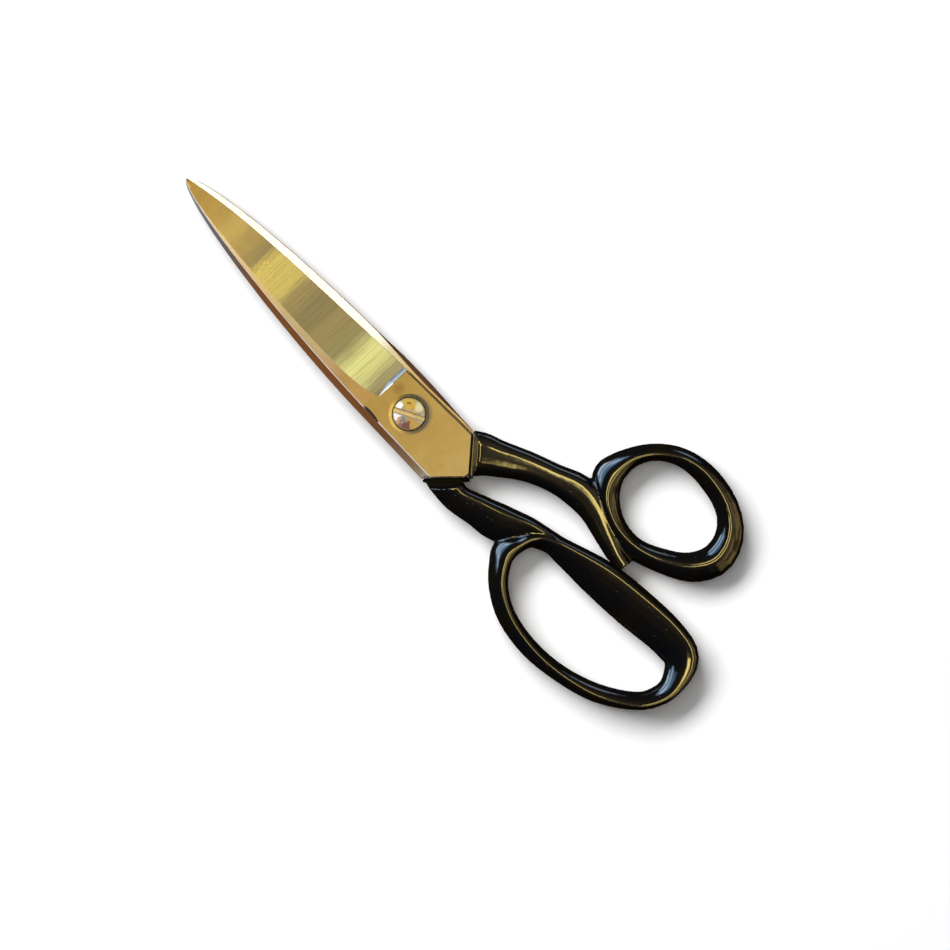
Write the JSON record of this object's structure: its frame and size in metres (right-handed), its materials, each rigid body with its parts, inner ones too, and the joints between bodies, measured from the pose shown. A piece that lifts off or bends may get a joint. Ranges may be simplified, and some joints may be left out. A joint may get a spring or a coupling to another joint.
{
  "type": "fabric shears",
  "caption": "Large pair of offset-handle shears: two tapered steel blades on a slotted pivot screw, black cast handles, oval thumb ring and long finger bow.",
  "frame": {"origin": "on the pivot axis, at the underside of the lock nut and of the bows, where the shears rest on a table", "axes": "+Z along the pivot screw towards its slotted head, -X along the closed blades towards the tip, +Y towards the thumb ring"},
  "size_m": [0.254, 0.0954, 0.0121],
  "materials": {
    "polished_steel": "polished, with a warm gold tone, cross-ground on the facet",
    "plain_steel": "bright turned steel",
    "black_enamel": "glossy black baked enamel over the casting"
  },
  "bodies": {
    "finger_half": {"finger_blade": "polished_steel", "finger_handle": "black_enamel", "pivot_screw": "plain_steel", "tension_washer": "plain_steel", "lock_washer": "plain_steel", "pivot_nut": "plain_steel"},
    "thumb_half": {"thumb_blade": "polished_steel", "thumb_handle": "black_enamel"}
  },
  "joints": [
    {"name": "pivot", "type": "hinge", "parent": "finger_half", "child": "thumb_half", "pos_m": [0, 0, 0.009], "axis": [0, 0, 1], "range_deg": [0, 85]}
  ]
}
